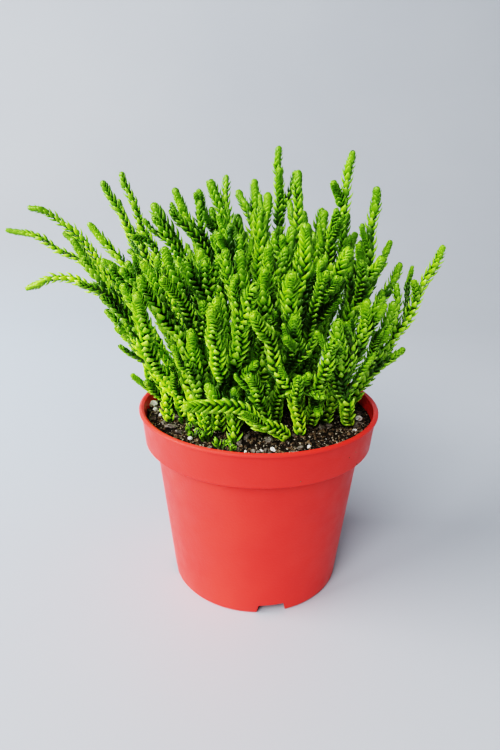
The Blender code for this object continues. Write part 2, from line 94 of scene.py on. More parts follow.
LIGHT_RED = (0.79, 0.044, 0.031, 1)
DEEP_RED = (0.72, 0.036, 0.027, 1)
RED_BLOTCHES = 45
SHEEN_BLOTCHES = 130
POT_ROUGHNESS = (0.34, 0.46)
POT_GRAIN = (900, 0.00003)


def between(first, last, share):
    """What lies at a share of the way from a first value to a last one."""
    return first + (last - first) * share


def body_radius(height):
    """The outer radius of the tapered body."""
    return between(FOOT_RADIUS, BODY_TOP_RADIUS, height / COLLAR_FOOT_HEIGHT)


def collar_radius(height):
    """The outer radius of the collar."""
    share = (height - COLLAR_FOOT_HEIGHT) / (POT_HEIGHT - COLLAR_FOOT_HEIGHT)
    return between(COLLAR_FOOT_RADIUS, COLLAR_TOP_RADIUS, share)


def turned(name, profile, sides):
    """A round piece, drawn as a filled circle whose edge is extruded from one (radius, height) to the next."""
    radius, height = profile[0]
    bpy.ops.mesh.primitive_circle_add(vertices=sides, radius=radius, fill_type="NGON", location=(0, 0, height))
    piece = bpy.context.object
    piece.name = name
    bpy.ops.object.transform_apply()
    bpy.ops.object.mode_set(mode="EDIT")
    bpy.ops.mesh.select_mode(type="EDGE")
    bpy.ops.mesh.select_all(action="SELECT")
    bpy.ops.mesh.region_to_loop()
    for next_radius, next_height in profile[1:]:
        bpy.ops.mesh.extrude_edges_move(TRANSFORM_OT_translate={"value": (0, 0, next_height - height)})
        growth = next_radius / radius
        bpy.ops.transform.resize(value=(growth, growth, 1))
        radius, height = next_radius, next_height
    bpy.ops.mesh.edge_face_add()
    bpy.ops.mesh.select_all(action="SELECT")
    bpy.ops.mesh.normals_make_consistent(inside=False)
    bpy.ops.object.mode_set(mode="OBJECT")
    return piece


def apply_modifier(piece, kind, **settings):
    """Adds a modifier to a piece and applies it."""
    bpy.context.view_layer.objects.active = piece
    modifier = piece.modifiers.new(kind.lower(), kind)
    for setting, value in settings.items():
        setattr(modifier, setting, value)
    bpy.ops.object.modifier_apply(modifier=modifier.name)


def smooth_to(piece, angle):
    """Smooths a piece's surface, but not across edges that turn by more than an angle."""
    bpy.ops.object.select_all(action="DESELECT")
    piece.select_set(True)
    bpy.ops.object.shade_smooth_by_angle(angle=angle)


def join(pieces):
    """Joins pieces into the first one."""
    bpy.ops.object.select_all(action="DESELECT")
    for piece in pieces:
        piece.select_set(True)
    bpy.context.view_layer.objects.active = pieces[0]
    bpy.ops.object.join()


def select_where(piece, kind, test):
    """Selects the faces, edges or points of a piece in edit mode that pass a test, and nothing else."""
    mesh = bmesh.from_edit_mesh(piece.data)
    for element in (*mesh.faces, *mesh.edges, *mesh.verts):
        element.select_set(False)
    for element in getattr(mesh, kind):
        if test(element):
            element.select_set(True)
    mesh.select_flush_mode()
    bmesh.update_edit_mesh(piece.data)


def looks_up(face):
    """Whether a face looks straight up."""
    return face.normal.z > 0.9


pot = turned("nursery_pot", [
    (CHANNEL_RADIUS, 0),
    (CHANNEL_RADIUS + CHANNEL_SLOPE, CHANNEL_HEIGHT),
    (body_radius(CHANNEL_HEIGHT) - WALL, CHANNEL_HEIGHT),
    (FOOT_RADIUS - WALL, 0),
    (FOOT_RADIUS - EDGE_ROUND, 0),
    (body_radius(SKIRT_EDGE_HEIGHT), SKIRT_EDGE_HEIGHT),
    (body_radius(NOTCH_HEIGHT + EDGE_ROUND), NOTCH_HEIGHT + EDGE_ROUND),
    (body_radius(3 * NOTCH_HEIGHT), 3 * NOTCH_HEIGHT),
    (BODY_TOP_RADIUS, COLLAR_FOOT_HEIGHT - EDGE_ROUND),
    (COLLAR_FOOT_RADIUS - EDGE_ROUND, COLLAR_FOOT_HEIGHT),
    (COLLAR_FOOT_RADIUS, COLLAR_FOOT_HEIGHT + EDGE_ROUND),
    (COLLAR_TOP_RADIUS, LIP_FOOT_HEIGHT),
    (RIM_RADIUS, LIP_FOOT_HEIGHT + EDGE_ROUND / 2),
    (RIM_RADIUS, POT_HEIGHT - EDGE_ROUND),
    (COLLAR_TOP_RADIUS, POT_HEIGHT),
    (COLLAR_TOP_RADIUS - WALL, POT_HEIGHT - EDGE_ROUND),
    (collar_radius(COLLAR_FOOT_HEIGHT + WALL) - WALL, COLLAR_FOOT_HEIGHT + WALL),
    (BODY_TOP_RADIUS - WALL, COLLAR_FOOT_HEIGHT),
    (body_radius(CHANNEL_HEIGHT + WALL) - WALL, CHANNEL_HEIGHT + WALL),
    (CHANNEL_RADIUS, CHANNEL_HEIGHT + WALL),
    (CHANNEL_RADIUS - WALL, WALL),
], POT_SIDES)

cutters = []
for angle in NOTCH_ANGLES:
    centre = (FOOT_RADIUS * math.cos(angle), FOOT_RADIUS * math.sin(angle), (NOTCH_HEIGHT - CUT_PAST) / 2)
    bpy.ops.mesh.primitive_cube_add(size=1, location=centre, rotation=(0, 0, angle),
                                    scale=(NOTCH_REACH, NOTCH_FOOT_WIDTH, NOTCH_HEIGHT + CUT_PAST))
    notch = bpy.context.object
    bpy.ops.object.mode_set(mode="EDIT")
    select_where(notch, "faces", looks_up)
    bpy.ops.transform.resize(value=(1, NOTCH_WIDTH / NOTCH_FOOT_WIDTH, 1), orient_type="LOCAL")
    bpy.ops.object.mode_set(mode="OBJECT")
    cutters.append(notch)
for angle in DRAIN_ANGLES:
    centre = (DRAIN_RING_RADIUS * math.cos(angle), DRAIN_RING_RADIUS * math.sin(angle), CHANNEL_HEIGHT)
    bpy.ops.mesh.primitive_cylinder_add(vertices=DRAIN_SIDES, radius=DRAIN_RADIUS, depth=DRAIN_CUT_DEPTH,
                                        location=centre)
    cutters.append(bpy.context.object)
join(cutters)
bpy.ops.object.transform_apply()
apply_modifier(pot, "BOOLEAN", operation="DIFFERENCE", object=cutters[0])
bpy.data.objects.remove(cutters[0])
apply_modifier(pot, "BEVEL", width=POT_BEVEL, segments=2, limit_method="ANGLE", angle_limit=BEVEL_FROM)
smooth_to(pot, POT_SMOOTH_TO)


def give_material(piece, material):
    """Makes a material the only one of a piece."""
    piece.data.materials.clear()
    piece.data.materials.append(material)


def begin_material(name, piece):
    """A new material on a piece. Returns its shader and the socket that gives a point's place."""
    material = bpy.data.materials.new(name)
    material.use_nodes = True
    give_material(piece, material)
    nodes = material.node_tree.nodes
    return nodes["Principled BSDF"], nodes.new("ShaderNodeTexCoord").outputs["Object"]


def set_inputs(node, inputs):
    """Sets inputs of a node, each to a plain value or to what comes out of another node's socket."""
    for name, value in inputs.items():
        if isinstance(value, bpy.types.NodeSocket):
            node.id_data.links.new(value, node.inputs[name])
        else:
            node.inputs[name].default_value = value


# Soft blotches, used wherever a surface isn't quite even. Their scale is how many fit into a metre. The functions
# that follow each add a node and return the socket that its result comes out of.
blotches = bpy.data.node_groups.new("blotches", "ShaderNodeTree")
for name, kind in (("Position", "Vector"), ("Scale", "Float"), ("Low", "Float"), ("High", "Float")):
    blotches.interface.new_socket(name, in_out="INPUT", socket_type=f"NodeSocket{kind}")
blotches.interface.new_socket("Value", in_out="OUTPUT", socket_type="NodeSocketFloat")
given = blotches.nodes.new("NodeGroupInput").outputs
noise = blotches.nodes.new("ShaderNodeTexNoise")
set_inputs(noise, {"Vector": given["Position"], "Scale": given["Scale"], "Detail": 4})
spread = blotches.nodes.new("ShaderNodeMapRange")
set_inputs(spread, {"Value": noise.outputs["Fac"], "From Min": 0.3, "From Max": 0.7,
                    "To Min": given["Low"], "To Max": given["High"]})
set_inputs(blotches.nodes.new("NodeGroupOutput"), {"Value": spread.outputs["Result"]})


def add_blotches(place, scale, low, high):
    """Blotches at one scale, spread between a low and a high value."""
    group = place.id_data.nodes.new("ShaderNodeGroup")
    group.node_tree = blotches
    set_inputs(group, {"Position": place, "Scale": scale, "Low": low, "High": high})
    return group.outputs["Value"]


def mix_colours(share, first, second, blend="MIX"):
    """A colour between two others."""
    mix = share.id_data.nodes.new("ShaderNodeMix")
    mix.data_type = "RGBA"
    mix.blend_type = blend
    set_inputs(mix, {"Factor": share, "A": first, "B": second})
    return mix.outputs["Result"]


def add_grain(place, scale, depth):
    """The normal of a surface with fine blotches at one scale that rise by a depth in metres."""
    bump = place.id_data.nodes.new("ShaderNodeBump")
    set_inputs(bump, {"Height": add_blotches(place, scale, 0, 1), "Distance": depth})
    return bump.outputs["Normal"]


shader, place = begin_material("red pot plastic", pot)
set_inputs(shader, {
    "Base Color": mix_colours(add_blotches(place, RED_BLOTCHES, 0, 1), LIGHT_RED, DEEP_RED),
    "Roughness": add_blotches(place, SHEEN_BLOTCHES, *POT_ROUGHNESS),
    "Specular IOR Level": 0.40,
    "Normal": add_grain(place, *POT_GRAIN),
})
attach(pot, "root")
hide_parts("pot")

# The potting mix fills the pot to a little below its lip: damp dark peat, crumbly on top and pressed flat against the
# pot below, with a hump of it around the stems in the middle.
MIX_GAP = 0.0003
MIX_EDGE_HEIGHT = 0.0880
MIX_MIDDLE_HEIGHT = 0.0905
MIX_RINGS = 52
MIX_RELIEF = (
    # The width and the height of what makes its top uneven.
    ("lumps", 0.011, 0.0022),
    ("crumbs", 0.0032, 0.0016),
    ("grains", 0.0012, 0.0007),
)
MIX_SMOOTH_TO = math.radians(50)
DARK_PEAT = (0.009, 0.006, 0.004, 1)
LIGHT_PEAT = (0.065, 0.043, 0.028, 1)
# Painted shade in the hollows between the peat's grains.
SHADE_BETWEEN_GRAINS = (0.008, 0.006, 0.004, 1)
CLOD_BLOTCHES = 260
PEAT_GRAIN = (1100, 0.0006)


def mix_height(radius):
    """The height of the mix before its crumbs, at a distance from the pot's axis."""
    return between(MIX_MIDDLE_HEIGHT, MIX_EDGE_HEIGHT, min(1, radius / COLLAR_FOOT_RADIUS) ** 2)


floor_height = WALL + MIX_GAP
step_height = CHANNEL_HEIGHT + WALL + MIX_GAP
shoulder_height = COLLAR_FOOT_HEIGHT + WALL + MIX_GAP
mix_radius = collar_radius(MIX_EDGE_HEIGHT) - WALL - MIX_GAP
top_rings = [mix_radius * (1 - number / MIX_RINGS) for number in range(MIX_RINGS)]
mix = turned("potting_mix", [
    (CHANNEL_RADIUS - WALL - MIX_GAP, floor_height),
    (CHANNEL_RADIUS - MIX_GAP, step_height),
    (body_radius(step_height) - WALL - MIX_GAP, step_height),
    (BODY_TOP_RADIUS - WALL - MIX_GAP, COLLAR_FOOT_HEIGHT),
    (collar_radius(shoulder_height) - WALL - MIX_GAP, shoulder_height),
] + [(radius, mix_height(radius)) for radius in top_rings], POT_SIDES)
top = mix.vertex_groups.new(name="top")
top.add([vertex.index for vertex in mix.data.vertices if vertex.co.z > MIX_EDGE_HEIGHT - MIX_GAP], 1, "REPLACE")
for name, width, height in MIX_RELIEF:
    clouds = bpy.data.textures.new(name, "CLOUDS")
    clouds.noise_scale = width
    clouds.noise_depth = 2
    apply_modifier(mix, "DISPLACE", texture=clouds, strength=height, mid_level=0.5, direction="Z", vertex_group="top",
                   texture_coords="LOCAL")
smooth_to(mix, MIX_SMOOTH_TO)

shader, place = begin_material("damp peat", mix)
peat = mix_colours(add_blotches(place, CLOD_BLOTCHES, 0, 1), DARK_PEAT, LIGHT_PEAT)
# Painted shade: the peat darkens where the bump of its grain dips.
set_inputs(shader, {
    "Base Color": mix_colours(add_blotches(place, PEAT_GRAIN[0], 0, 1), SHADE_BETWEEN_GRAINS, peat),
    "Roughness": 0.9,
    "Specular IOR Level": 0.25,
    "Normal": add_grain(place, *PEAT_GRAIN),
})
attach(mix, "root")
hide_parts("soil")

# Loose bits lie on the mix: crumbs of peat, chips of bark, grey grit, white perlite and short tan fibres. Each kind is
# modelled once and copied, and the copies lie where a seeded draw puts them.
BITS_SEED = 5
BIT_SHAPES = {
    # How finely its ball is divided, how many there are, their smallest and largest size, how flat they are, and how
    # high their middle lies, as a share of their size.
    "peat_crumbs": (1, 5600, (0.0005, 0.0020), 0.8, 0.15),
    "bark_chips": (2, 220, (0.0010, 0.0048), 0.4, 0.10),
    "grey_grit": (1, 4300, (0.0003, 0.0014), 0.7, 0.20),
    "white_perlite": (2, 110, (0.0004, 0.0022), 0.8, 0.20),
}
BIT_FINISHES = {
    # The darkest and the lightest colour, and the roughness.
    "peat_crumbs": ((0.008, 0.006, 0.004, 1), (0.210, 0.148, 0.092, 1), 0.9),
    "bark_chips": ((0.060, 0.050, 0.042, 1), (0.260, 0.230, 0.200, 1), 0.85),
    "grey_grit": ((0.030, 0.026, 0.021, 1), (0.560, 0.500, 0.400, 1), 0.7),
    "white_perlite": ((0.580, 0.570, 0.540, 1), (0.860, 0.860, 0.840, 1), 0.8),
    "tan_fibres": ((0.120, 0.070, 0.035, 1), (0.330, 0.210, 0.110, 1), 0.8),
}
SET_BITS = {
    # The larger bits that lie in plain view, with their places and lengths in millimetres.
    "bark_chips": ((-42, -22, 7.5), (-37, -28, 5.0), (-46, -16, 4.5), (47, -15, 4.5)),
    "white_perlite": ((-55, 7, 4.6), (-53, 0, 2.6), (-49, -7, 2.2), (1, -45, 1.8), (6, -44, 2.5), (-6, -46, 1.7),
                      (50, -8, 3.2), (46, -22, 2.0)),
}
# Crumbs that stick to the collar: angle in degrees, height and size in millimetres.
STUCK_CRUMBS = ((-72, 80.0, 0.7), (-46, 85.0, 0.6), (-38, 78.5, 0.8))
SCATTER_REACH = 0.99
BIT_DENTS = {"offset": 0.16, "uniform": 0.6, "normal": 0.3}
FIRST_DENT_SEED = 2
BIT_TILT = 0.35
BIT_BREADTHS = (0.55, 1)
BIT_THICKNESSES = (0.7, 1.2)
BIT_TONE_BLOTCHES = 420
BIT_TONES = (-0.15, 1)
BIT_GRAIN = (1500, 0.0002)
FIBRES = 130
FIBRE_LENGTHS = (0.0030, 0.0090)
FIBRE_RISE = 0.04
FIBRE_SIDES = 5
FIBRE_RADIUS = 0.02
FIBRE_JOINT = 0.25
FIBRE_LEANS = (0.15, -0.09, -0.18)


def repeated(name, copies, faces):
    """One object made of many copies of a form, from the corners of each copy and the faces of one."""
    per_copy = copies.shape[1]
    shifted = [[corner + number * per_copy for corner in face] for number in range(len(copies)) for face in faces]
    mesh = bpy.data.meshes.new(name)
    mesh.from_pydata(copies.reshape(-1, 3).tolist(), [], shifted)
    piece = bpy.data.objects.new(name, mesh)
    bpy.context.scene.collection.objects.link(piece)
    return piece


def joined_copies(name, model, places):
    """One object that holds a copy of a modelled piece at each place, and then takes the model away."""
    corners = np.array([(*vertex.co, 1) for vertex in model.data.vertices])
    faces = [tuple(face.vertices) for face in model.data.polygons]
    bpy.data.objects.remove(model)
    return repeated(name, np.array([(corners @ np.array(place).T)[:, :3] for place in places]), faces)


def laid(draw, x, y, size, flatness, rise):
    """The place of one loose bit that lies on the mix at (x, y), turned at random."""
    _, point, _, _ = mix.ray_cast((x, y, POT_HEIGHT), (0, 0, -1))
    tilt = Matrix.Rotation(draw.gauss(0, BIT_TILT), 4, "X") @ Matrix.Rotation(draw.gauss(0, BIT_TILT), 4, "Y")
    turn = Matrix.Rotation(draw.uniform(0, math.tau), 4, "Z")
    breadth = size * draw.uniform(*BIT_BREADTHS)
    shape = Matrix.Diagonal((size, breadth, size * flatness * draw.uniform(*BIT_THICKNESSES), 1))
    return Matrix.Translation(point + Vector((0, 0, rise * size))) @ turn @ tilt @ shape


def scattered(draw, count, sizes, flatness, rise):
    """Places for loose bits all over the mix, with more small ones than large ones."""
    places = []
    for _ in range(count):
        radius = SCATTER_REACH * mix_radius * math.sqrt(draw.random())
        angle = draw.uniform(0, math.tau)
        size = draw.uniform(*sizes) ** 2 / sizes[1]
        places.append(laid(draw, radius * math.cos(angle), radius * math.sin(angle), size, flatness, rise))
    return places


draw = random.Random(BITS_SEED)
bits = {}
for name, (fineness, count, sizes, flatness, rise) in BIT_SHAPES.items():
    bpy.ops.mesh.primitive_ico_sphere_add(subdivisions=fineness, radius=0.5)
    model = bpy.context.object
    bpy.ops.object.mode_set(mode="EDIT")
    bpy.ops.transform.vertex_random(seed=FIRST_DENT_SEED + len(bits), **BIT_DENTS)
    bpy.ops.object.mode_set(mode="OBJECT")
    places = scattered(draw, count, sizes, flatness, rise)
    places += [laid(draw, x / 1000, y / 1000, size / 1000, flatness, rise) for x, y, size in SET_BITS.get(name, ())]
    if name == "peat_crumbs":
        for angle, height, size in STUCK_CRUMBS:
            spot = Matrix.Translation((collar_radius(height / 1000), 0, height / 1000))
            places.append(Matrix.Rotation(math.radians(angle), 4, "Z") @ spot @ Matrix.Scale(size / 1000, 4))
    bits[name] = joined_copies(name, model, places)
bpy.ops.mesh.primitive_cylinder_add(vertices=FIBRE_SIDES, radius=FIBRE_RADIUS, depth=FIBRE_JOINT)
model = bpy.context.object
bpy.ops.object.mode_set(mode="EDIT")
for lean in FIBRE_LEANS:
    select_where(model, "faces", looks_up)
    bpy.ops.mesh.extrude_region_move(TRANSFORM_OT_translate={"value": (lean, 0, FIBRE_JOINT)})
bpy.ops.object.mode_set(mode="OBJECT")
places = scattered(draw, FIBRES, FIBRE_LENGTHS, 1, FIBRE_RISE)
places = [place @ Matrix.Rotation(math.pi / 2, 4, "Y") for place in places]
bits["tan_fibres"] = joined_copies("tan_fibres", model, places)
for name, (dark, light, roughness) in BIT_FINISHES.items():
    shader, place = begin_material(name.replace("_", " "), bits[name])
    set_inputs(shader, {
        "Base Color": mix_colours(add_blotches(place, BIT_TONE_BLOTCHES, *BIT_TONES), dark, light),
        "Roughness": roughness,
        "Specular IOR Level": 0.3,
        "Normal": add_grain(place, *BIT_GRAIN),
    })
    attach(bits[name], "root")

# The stems grow in clumps out of the mix, lean out and branch. These are their lines, in millimetres: the foot (x, y),
# the tip, how far the middle bows up, and each side shoot's start along the stem, tip and bow.
STEMS = {
    "left": (
        ((-40, -14), (-75, -32, 170), 3, ((0.72, (-104, -22, 155), 7), (0.62, (-75, -42, 161), 4),
                                          (0.40, (-68, -36, 155), 3))),
        ((-35, -2), (-85, -14, 176), 2, ((0.66, (-116, -6, 179), 6), (0.55, (-65, -24, 166), 2))),
        ((-33, 10), (-100, 22, 176), 5, ((0.74, (-112, 12, 188), 6),)),
        ((-27, 24), (-89, 32, 179), 3, ((0.55, (-74, 36, 191), 0),)),
        ((-23, 14), (-78, 18, 200), 3, ((0.68, (-60, 12, 182), 0),)),
        ((-19, 5), (-65, 4, 204), -1, ((0.62, (-59, -8, 177), 5),)),
        ((-29, -12), (-58, -30, 169), 5, ((0.60, (-58, -40, 167), 3),)),
        ((-30, -18), (-48, -52, 166), 2, ((0.55, (-48, -42, 170), 1),)),
        ((-36, -12), (-49, -56, 160), 2, ((0.50, (-56, -44, 161), 2),)),
        ((-40, -5), (-51, -22, 113), 1, ()),
        ((-44, 1), (-61, -24, 140), 3, ((0.55, (-72, -14, 144), 3),)),
    ),
    "front": (
        ((-21, -17), (-39, -46, 176), 4, ((0.55, (-38, -58, 166), 2),)),
        ((-14, -9), (-32, -40, 171), 7, ((0.60, (-24, -40, 172), 0),)),
        ((-25, -23), (-29, -50, 145), 0, ((0.35, (-31, -46, 130), 1),)),
        ((-17, -26), (-19, -68, 157), 3, ((0.65, (-17, -58, 159), 0),)),
        ((-15, -26), (-3, -62, 165), 6, ((0.32, (-1, -52, 132), 0),)),
        ((19, -29), (-5, -68, 155), 9, ((0.30, (2, -50, 133), 0), (0.38, (27, -52, 117), 2))),
        ((11, -13), (13, -54, 152), 0, ((0.60, (9, -60, 146), 0),)),
        ((5, -29), (-5, -52, 127), 1, ((0.45, (6, -44, 122), 0),)),
        ((13, -33), (-31, -60, 115), 7, ()),
        ((-11, -38), (-12, -39, 118), 0, ((0.40, (-20, -41, 121), 0),)),
        ((-22, -32), (-23, -43, 108), 2, ()),
        ((24, -18), (28, -57, 143), 0, ((0.30, (25, -43, 106), 0),)),
    ),
    "right": (
        ((44, -15), (31, -46, 149), -4,
            ((0.40, (48, -35, 132), 0), (0.50, (39, -36, 145), -2), (0.36, (28, -40, 123), 0))),
        ((16, -11), (10, -54, 169), 0, ((0.50, (3, -48, 149), 2),)),
        ((32, -13), (43, -40, 156), -3, ((0.60, (52, -28, 155), 0),)),
        ((41, -4), (59, -18, 152), -4, ((0.45, (51, -30, 142), 0), (0.40, (67, -14, 129), -1))),
        ((15, -6), (35, -42, 176), 7, ((0.62, (24, -50, 168), 0), (0.50, (23, -44, 172), -2))),
        ((29, -2), (49, -32, 173), 3, ((0.75, (40, -40, 171), 0),)),
        ((37, 8), (68, 8, 165), 0, ((0.60, (60, 4, 152), 0),)),
        ((43, 4), (81, -8, 175), -4, ((0.72, (69, -12, 160), 0), (0.50, (65, 0, 157), -1))),
    ),
    "top": (
        ((33, 16), (51, 2, 200), -7, ((0.72, (45, -6, 184), 0), (0.55, (43, -14, 176), 0))),
        ((26, 8), (39, -4, 214), 1, ((0.82, (30, -10, 202), 0), (0.60, (31, -16, 191), 0))),
        ((25, 22), (48, 26, 178), 0, ((0.60, (41, 14, 188), 0),)),
        ((17, 14), (30, 26, 189), -3, ()),
        ((16, 3), (16, 2, 206), -3, ((0.76, (12, 12, 192), 0),)),
        ((9, 20), (8, 34, 218), -3, ((0.70, (8, 20, 208), 0),)),
        ((12, -7), (18, -32, 186), -2, ((0.60, (17, -22, 183), 0),)),
        ((5, -2), (13, -12, 183), 0, ((0.65, (9, -20, 179), 0),)),
        ((1, -12), (0, -48, 170), 0, ((0.60, (3, -38, 177), 2),)),
        ((-6, -17), (-9, -46, 175), 0, ((0.60, (-15, -50, 176), 0),)),
        ((-6, -7), (-14, -24, 184), 0, ((0.70, (-18, -32, 182), 0), (0.50, (-10, -30, 180), 0))),
        ((0, 6), (-1, -14, 191), 0, ((0.70, (2, 0, 196), 0),)),
        ((-3, 14), (-4, 22, 202), 0, ((0.82, (-12, 28, 197), 0), (0.50, (10, 26, 179), 0))),
        ((-6, 7), (-23, -6, 202), 5, ((0.70, (-18, 16, 204), 0), (0.50, (-19, -14, 188), 0))),
        ((-12, 17), (-32, 22, 197), 3, ((0.80, (-33, 12, 195), 0), (0.60, (-25, 14, 189), 0))),
        ((-13, 0), (-41, -2, 197), 9, ((0.64, (-41, -14, 188), 3),)),
        ((-22, -4), (-48, -12, 191), 8, ((0.70, (-47, -20, 186), 0),)),
    ),
}
BACK_STEMS = 10
BACK_ANGLES = (math.radians(20), math.radians(160))
BACK_ROWS = (
    # How far out the feet of a row are, how far out its tips, and how high.
    (0.023, 0.033, 0.184),
    (0.043, 0.070, 0.166),
)
BACK_SIDE_SHOOTS = (
    # The start along the stem, the length, and how far it leans aside and outwards, in degrees.
    (0.34, 0.042, 27, -12),
    (0.50, 0.036, -25, 16),
    (0.70, 0.024, 18, 22),
)
BACK_TIP_SPREAD = (0.92, 1.12)
BACK_HEIGHT_SPREAD = (-0.008, 0.010)
BACK_LEAN_SPREAD = (0.8, 1.2)
BACK_LENGTH_SPREAD = (0.9, 1.2)
BACK_BOW = 0.003
BACK_SIDE_BOW = 0.001
STEMS_SEED = 11
BUSH_MIDDLE_HEIGHT = 0.120
UP = Vector((0, 0, 1))
# The distances of near and far tips from the bush's middle, and how thick the shoots that reach them are.
TIP_REACHES = (0.078, 0.133)
TIP_GIRTHS = (1.15, 0.78)
GIRTH_SPREAD = 0.06
POINT_SPACING = 0.003
FEWEST_STEPS = 4
LEAF_REACHES = (0.0021, 0.0031)  # at a shoot's tip and lower down
TAPER_LENGTH = 0.040
STEM_CLEARANCE = 0.0004
LIP_CLEARANCE = 0.0017
MIX_CLEARANCE = 0.0010
RISE_FROM_MIX = 0.80
KEEP_APART_ROUNDS = 70
SMOOTHING_PASSES = 9


def bowed_line(start, tip, bow):
    """Points from start to tip along a curve whose middle lies bow above the straight line."""
    chord = tip - start
    above = chord.cross(UP).cross(chord).normalized()
    control = (start + tip) / 2 + 2 * bow * above
    count = max(FEWEST_STEPS, round(chord.length / POINT_SPACING)) + 1
    shares = [number / (count - 1) for number in range(count)]
    return np.array([(1 - t) ** 2 * start + 2 * t * (1 - t) * control + t * t * tip for t in shares])


def shoot_along(draw, node, points, girth, parent=None, joint=0):
    """A shoot: its node, its line, its girth, the turn of its ranks of leaves, and what it grows from and where."""
    turn = draw.uniform(0, math.pi / 2)
    return {"node": node, "points": points, "girth": girth, "turn": turn, "parent": parent, "joint": joint}


def add_shoot(draw, node, start, tip, bow, parent=None, joint=0):
    """A stem or side shoot. Those that reach far out of the bush are thinner than those near its middle."""
    reach = (tip - BUSH_MIDDLE_HEIGHT * UP).length
    girth = float(np.interp(reach, TIP_REACHES, TIP_GIRTHS)) * draw.uniform(1 - GIRTH_SPREAD, 1 + GIRTH_SPREAD)
    shoots.append(shoot_along(draw, node, bowed_line(start, tip, bow), girth, parent, joint))
    return shoots[-1]


def add_side_shoot(draw, parent, where, tip, bow):
    """A shoot that leaves its parent at a share of the parent's length."""
    joint = round(where * (len(parent["points"]) - 1))
    add_shoot(draw, parent["node"], Vector(parent["points"][joint]), tip, bow, parent, joint)


def leaf_reach(shoot, left):
    """How far the leaves stand out from a shoot's middle line, where this much length is left to its tip."""
    share = min(1, left / TAPER_LENGTH)
    return shoot["girth"] * between(*LEAF_REACHES, share * share * (3 - 2 * share))


def arc_lengths(points):
    """The distance along a line to each of its points."""
    steps = np.linalg.norm(np.diff(points, axis=0), axis=1)
    return np.concatenate([[0], np.cumsum(steps)])


def smoothed(moves):
    """The moves evened out along a shoot, so that it bends gently."""
    for _ in range(SMOOTHING_PASSES):
        padded = np.vstack([moves[:1], moves, moves[-1:]])
        moves = (padded[:-2] + 2 * padded[1:-1] + padded[2:]) / 4
    return moves


def on_mix(x, y):
    """The point on the mix, before its crumbs, at (x, y)."""
    return Vector((x, y, mix_height(math.hypot(x, y))))


def pushes_between():
    """A move for each point, away from other stems, the pot's lip and the mix where it is too near them."""
    points = np.vstack([shoot["points"] for shoot in shoots])
    owners = [shoot["node"] for shoot in shoots for _ in shoot["points"]]
    reaches = []
    alongs = []
    for shoot in shoots:
        lengths = arc_lengths(shoot["points"])
        reaches += [leaf_reach(shoot, lengths[-1] - length) + STEM_CLEARANCE for length in lengths]
        alongs += list(lengths)
    tree = kdtree.KDTree(len(points))
    for index, point in enumerate(points):
        tree.insert(point, index)
    tree.balance()
    moves = np.zeros_like(points)
    widest = max(reaches)
    lip_radius = (RIM_RADIUS + COLLAR_TOP_RADIUS - WALL) / 2
    lip_height = (POT_HEIGHT + LIP_FOOT_HEIGHT) / 2
    for index, point in enumerate(points):
        for other, other_index, distance in tree.find_range(point, reaches[index] + widest):
            wanted = reaches[index] + reaches[other_index]
            if owners[other_index] != owners[index] and 0 < distance < wanted:
                moves[index] += (point - np.array(other)) / distance * (wanted - distance) / 2
        radius = math.hypot(point[0], point[1])
        nearest = np.array([*(point[:2] / radius * lip_radius), lip_height])
        distance = np.linalg.norm(point - nearest)
        wanted = reaches[index] + LIP_CLEARANCE
        if distance < wanted:
            moves[index] += (point - nearest) / distance * (wanted - distance)
        lowest = mix_height(radius) + min(RISE_FROM_MIX * alongs[index], reaches[index] + MIX_CLEARANCE)
        moves[index][2] += max(0, lowest - point[2])
    return moves


shoots = []
draw = random.Random(STEMS_SEED)
for side, stems in STEMS.items():
    for number, (base, tip, bow, side_shoots) in enumerate(stems, 1):
        foot = on_mix(base[0] / 1000, base[1] / 1000)
        stem = add_shoot(draw, f"stem_{side}_{number}", foot, Vector(tip) / 1000, bow / 1000)
        for where, side_tip, side_bow in side_shoots:
            add_side_shoot(draw, stem, where, Vector(side_tip) / 1000, side_bow / 1000)
for number in range(BACK_STEMS):
    foot_reach, tip_reach, tip_height = BACK_ROWS[number % 2]
    angle = between(*BACK_ANGLES, number / (BACK_STEMS - 1))
    outward = Vector((math.cos(angle), math.sin(angle), 0))
    foot = outward * foot_reach
    foot.z = mix_height(foot_reach)
    tip = outward * tip_reach * draw.uniform(*BACK_TIP_SPREAD)
    tip.z = tip_height + draw.uniform(*BACK_HEIGHT_SPREAD)
    stem = add_shoot(draw, f"stem_back_{number + 1}", foot, tip, BACK_BOW)
    points = stem["points"]
    around = outward.cross(UP)
    hand = draw.choice((-1, 1))
    for where, length, aside, outwards in BACK_SIDE_SHOOTS:
        joint = round(where * (len(points) - 1))
        along = Vector(points[joint + 1] - points[joint - 1]).normalized()
        lean = hand * math.radians(aside) * draw.uniform(*BACK_LEAN_SPREAD)
        along = Matrix.Rotation(-math.radians(outwards), 3, around) @ Matrix.Rotation(lean, 3, outward) @ along
        side_tip = Vector(points[joint]) + along * length * draw.uniform(*BACK_LENGTH_SPREAD)
        add_side_shoot(draw, stem, where, side_tip, BACK_SIDE_BOW)
for _ in range(KEEP_APART_ROUNDS):
    moves = pushes_between()
    first = 0
    for shoot in shoots:
        count = len(shoot["points"])
        own = smoothed(moves[first:first + count])
        first += count
        if shoot["parent"] is None:
            own[0][2] = 0
            shoot["move"] = own
        else:
            follow = np.linspace(1, 0, count)[:, None]
            shoot["move"] = own * (1 - follow) + shoot["parent"]["move"][shoot["joint"]] * follow
    for shoot in shoots:
        shoot["points"] = shoot["points"] + shoot["move"]

